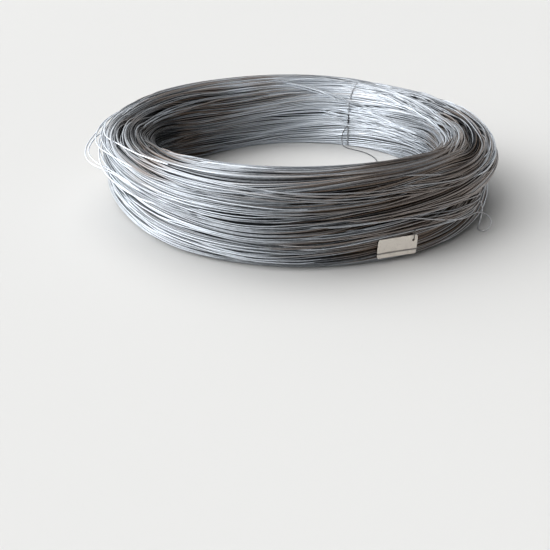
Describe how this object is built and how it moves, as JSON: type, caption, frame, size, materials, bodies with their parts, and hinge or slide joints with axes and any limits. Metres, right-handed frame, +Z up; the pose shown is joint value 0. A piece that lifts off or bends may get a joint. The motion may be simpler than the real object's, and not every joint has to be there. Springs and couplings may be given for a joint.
{
  "type": "coil of black annealed wire",
  "caption": "Flat-lying coil of dark annealed steel tying wire: a thick ring of wound turns with a dished eye, a doubled tie wire, sprung turns and a small tag.",
  "frame": {"origin": "on the coil's axis, in the plane that the coil lies on", "axes": "+Z up along the coil's axis, -Y towards the viewer's side of the picture, +X to the viewer's right"},
  "size_m": [0.6237, 0.5999, 0.1155],
  "materials": {
    "annealed_wire": "dark blue-grey annealing oxide with brown tints, satin",
    "tie_wire": "dark annealing oxide, satin",
    "tag": "matte white, slightly soiled"
  },
  "bodies": {
    "root": {"wire_coil": "annealed_wire", "loose_turns": "annealed_wire", "wire_end": "annealed_wire", "tie_wire": "tie_wire", "coil_tag": "tag", "tag_wire": "tie_wire"}
  },
  "joints": []
}
